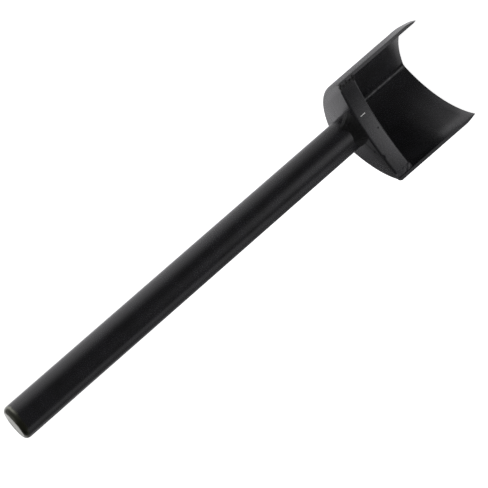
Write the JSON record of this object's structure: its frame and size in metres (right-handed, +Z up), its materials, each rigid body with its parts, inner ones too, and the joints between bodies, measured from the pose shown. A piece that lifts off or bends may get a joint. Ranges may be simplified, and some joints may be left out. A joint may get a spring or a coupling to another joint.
{
  "type": "strap end punch",
  "caption": "Hand punch that cuts pointed leather strap ends: a struck round bar welded to a block, with a thin pointed-arch blade welded round the block.",
  "frame": {"origin": "middle of the blade's outline, in the plane of the cutting edge", "axes": "+Z up along the handle, away from the cutting edge; +Y towards the point of the blade; -Y towards its open side; +X across the blade"},
  "size_m": [0.042, 0.0299, 0.192],
  "materials": {
    "painted_bar": "satin black enamel, rubbed to bare steel on the struck end",
    "painted_block": "satin black enamel, finely speckled",
    "painted_blade": "satin black enamel over ground steel",
    "painted_weld": "dull black enamel over rough weld beads"
  },
  "bodies": {
    "root": {"handle_bar": "painted_bar", "base_block": "painted_block", "blade_arm_left": "painted_blade", "blade_arm_right": "painted_blade", "handle_weld": "painted_weld", "point_weld": "painted_weld", "arm_weld_left": "painted_weld", "arm_weld_right": "painted_weld"}
  },
  "joints": []
}
